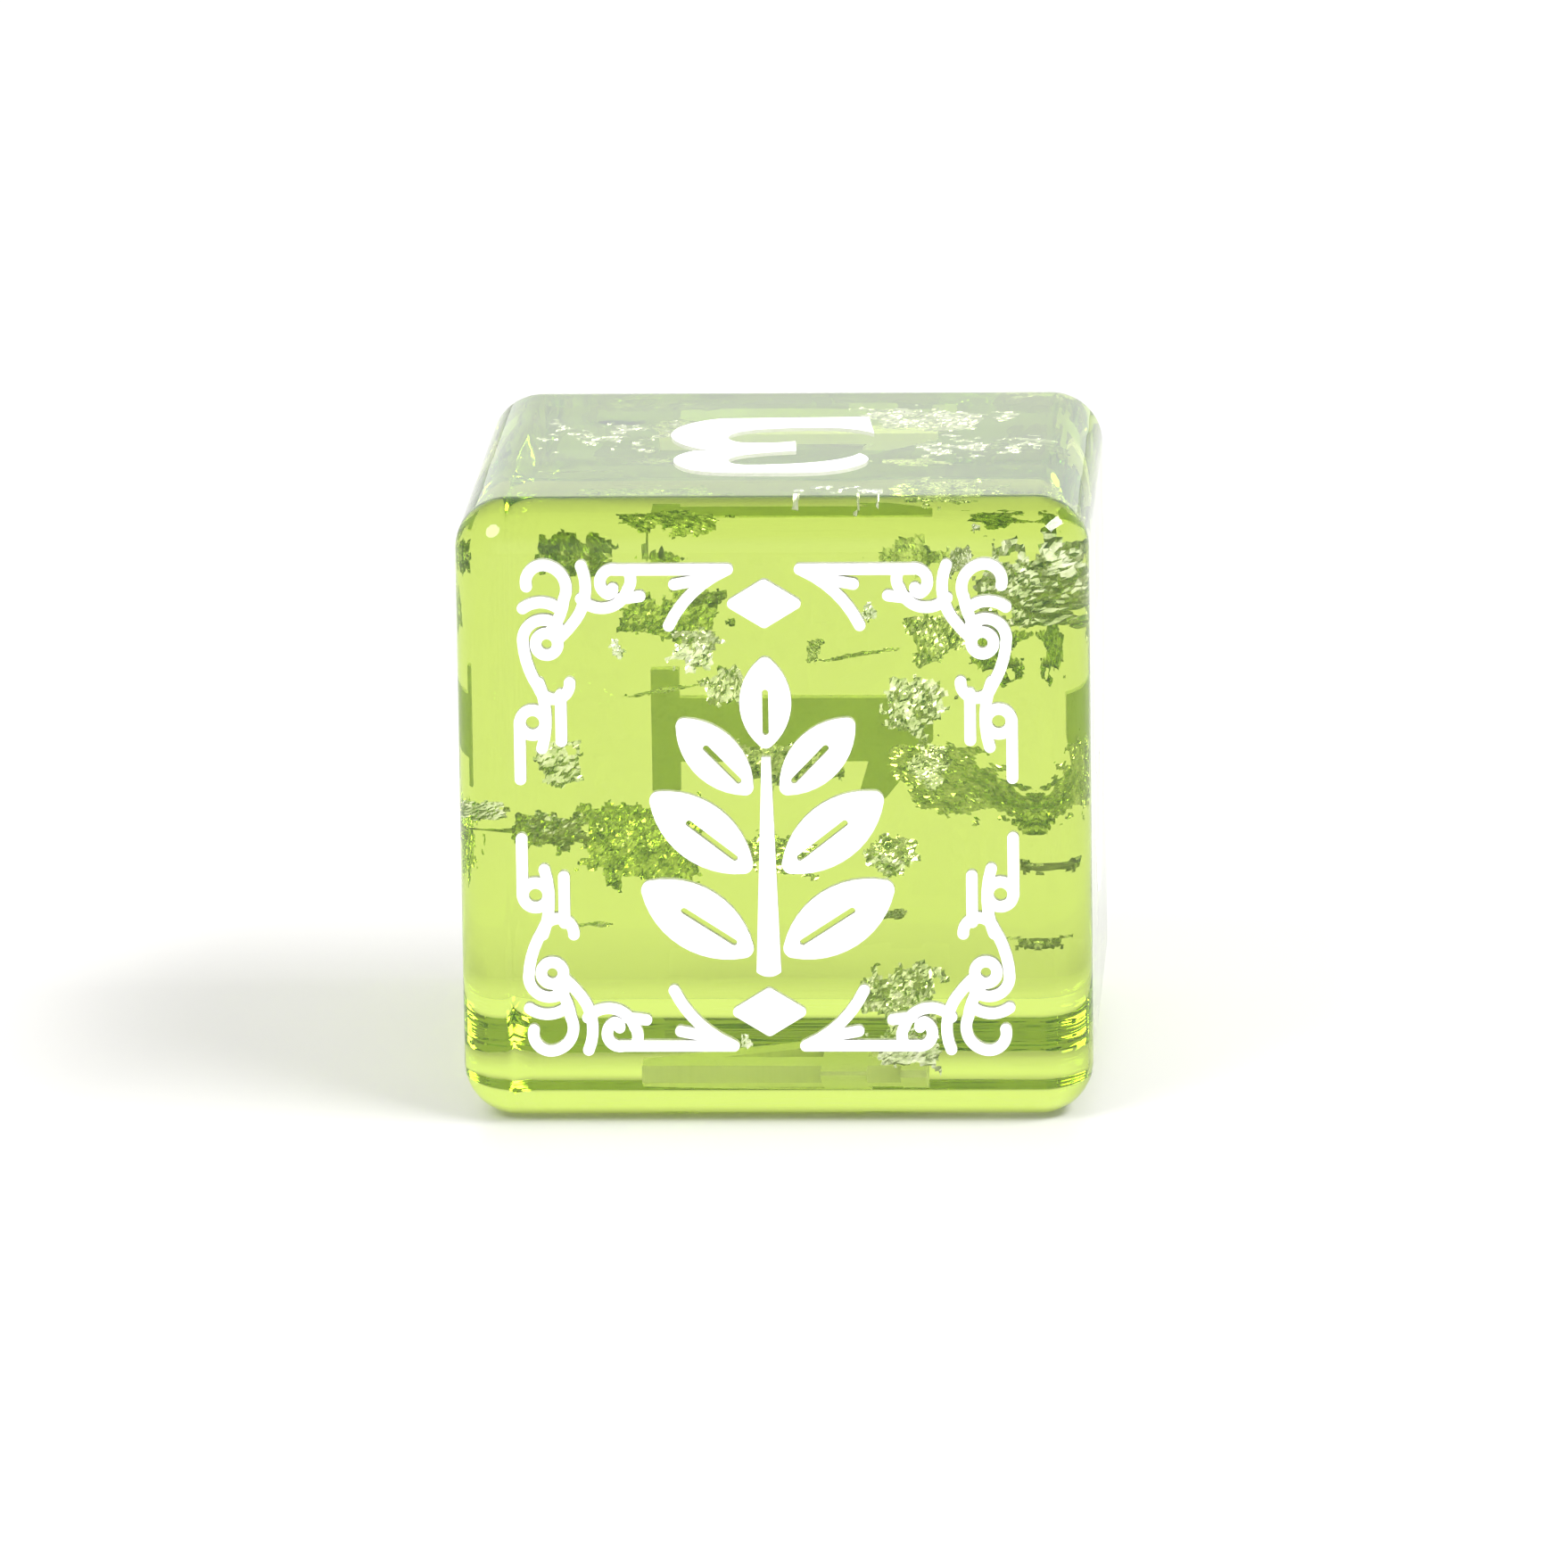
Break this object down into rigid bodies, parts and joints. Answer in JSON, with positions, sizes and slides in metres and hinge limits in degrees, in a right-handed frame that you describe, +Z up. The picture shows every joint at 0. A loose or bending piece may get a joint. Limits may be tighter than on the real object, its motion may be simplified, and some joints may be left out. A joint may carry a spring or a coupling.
{
  "type": "gaming die",
  "caption": "Rounded cube die of clear green cast resin with foil flakes inside, painted numerals on its sides and a scroll-framed leaf sprig on one.",
  "frame": {"origin": "middle of the face that it rests on, the numeral four's face", "axes": "+Z up through the numeral three's face, -Y out of the framed emblem's face, +X towards the numeral five's face"},
  "size_m": [0.016, 0.016, 0.016],
  "materials": {
    "resin": "polished",
    "paint": "satin",
    "foil": "gloss"
  },
  "bodies": {
    "root": {"die_body": "resin", "foil_flake_01": "foil", "foil_flake_02": "foil", "foil_flake_03": "foil", "foil_flake_04": "foil", "foil_flake_05": "foil", "foil_flake_06": "foil", "foil_flake_07": "foil", "foil_flake_08": "foil", "foil_flake_09": "foil", "foil_flake_10": "foil", "foil_flake_11": "foil", "foil_flake_12": "foil", "foil_flake_13": "foil", "foil_flake_14": "foil", "foil_flake_15": "foil", "foil_flake_16": "foil", "foil_flake_17": "foil", "foil_flake_18": "foil", "foil_flake_19": "foil", "foil_flake_20": "foil", "foil_flake_21": "foil", "foil_flake_22": "foil", "foil_flake_23": "foil", "foil_flake_24": "foil", "foil_flake_25": "foil", "foil_flake_26": "foil", "foil_flake_27": "foil", "foil_flake_28": "foil", "foil_flake_29": "foil", "foil_flake_30": "foil", "foil_flake_31": "foil", "foil_flake_32": "foil", "foil_flake_33": "foil", "foil_flake_34": "foil", "foil_flake_35": "foil", "foil_flake_36": "foil", "foil_flake_37": "foil", "foil_flake_38": "foil", "foil_flake_39": "foil", "foil_flake_40": "foil", "frame_lozenge_bottom": "paint", "frame_lozenge_top": "paint", "frame_scroll_bottom_left": "paint", "frame_scroll_bottom_right": "paint", "frame_scroll_top_left": "paint", "frame_scroll_top_right": "paint", "numeral_five": "paint", "numeral_four": "paint", "numeral_one": "paint", "numeral_three": "paint", "numeral_two": "paint", "sprig_leaf_lower_left": "paint", "sprig_leaf_lower_right": "paint", "sprig_leaf_middle_left": "paint", "sprig_leaf_middle_right": "paint", "sprig_leaf_tip": "paint", "sprig_leaf_upper_left": "paint", "sprig_leaf_upper_right": "paint", "sprig_stem": "paint"}
  },
  "joints": []
}
